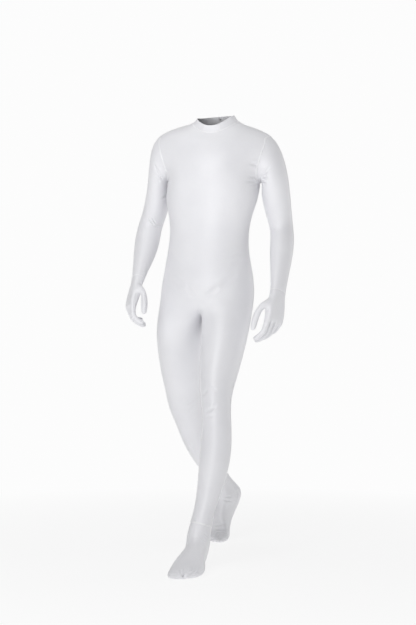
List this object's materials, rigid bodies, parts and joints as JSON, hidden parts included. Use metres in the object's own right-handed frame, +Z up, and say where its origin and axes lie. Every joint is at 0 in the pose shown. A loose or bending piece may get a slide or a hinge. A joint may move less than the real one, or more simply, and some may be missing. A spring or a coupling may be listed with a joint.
{
  "type": "full body spandex suit",
  "caption": "White stretch suit that covers the whole body up to a low collar, with gloves and feet attached, held in a walking stride as an empty form; zips up the back.",
  "frame": {"origin": "middle of the neck opening, where the suit is held", "axes": "+X to the suit's left, -Y to its front, +Z up along the body"},
  "size_m": [0.5743, 1.0034, 1.5689],
  "materials": {
    "spandex": "glossy fine knit, white",
    "zip_nylon": "moulded coil zip, white",
    "zip_metal": "plain plated metal"
  },
  "bodies": {
    "suit": {"front": "spandex", "back_left": "spandex", "back_right": "spandex", "sleeve_left": "spandex", "sleeve_right": "spandex", "glove_left": "spandex", "glove_right": "spandex", "foot_left": "spandex", "foot_right": "spandex", "collar_front": "spandex", "collar_left": "spandex", "collar_right": "spandex", "zip_chain": "zip_nylon", "zip_slider": "zip_metal"},
    "pull": {"zip_pull": "zip_metal"}
  },
  "joints": [
    {"name": "pull_hinge", "type": "hinge", "parent": "suit", "child": "pull", "pos_m": [0, 0.0643, 0.0271], "axis": [1, 0, 0], "range_deg": [0, 150]}
  ]
}
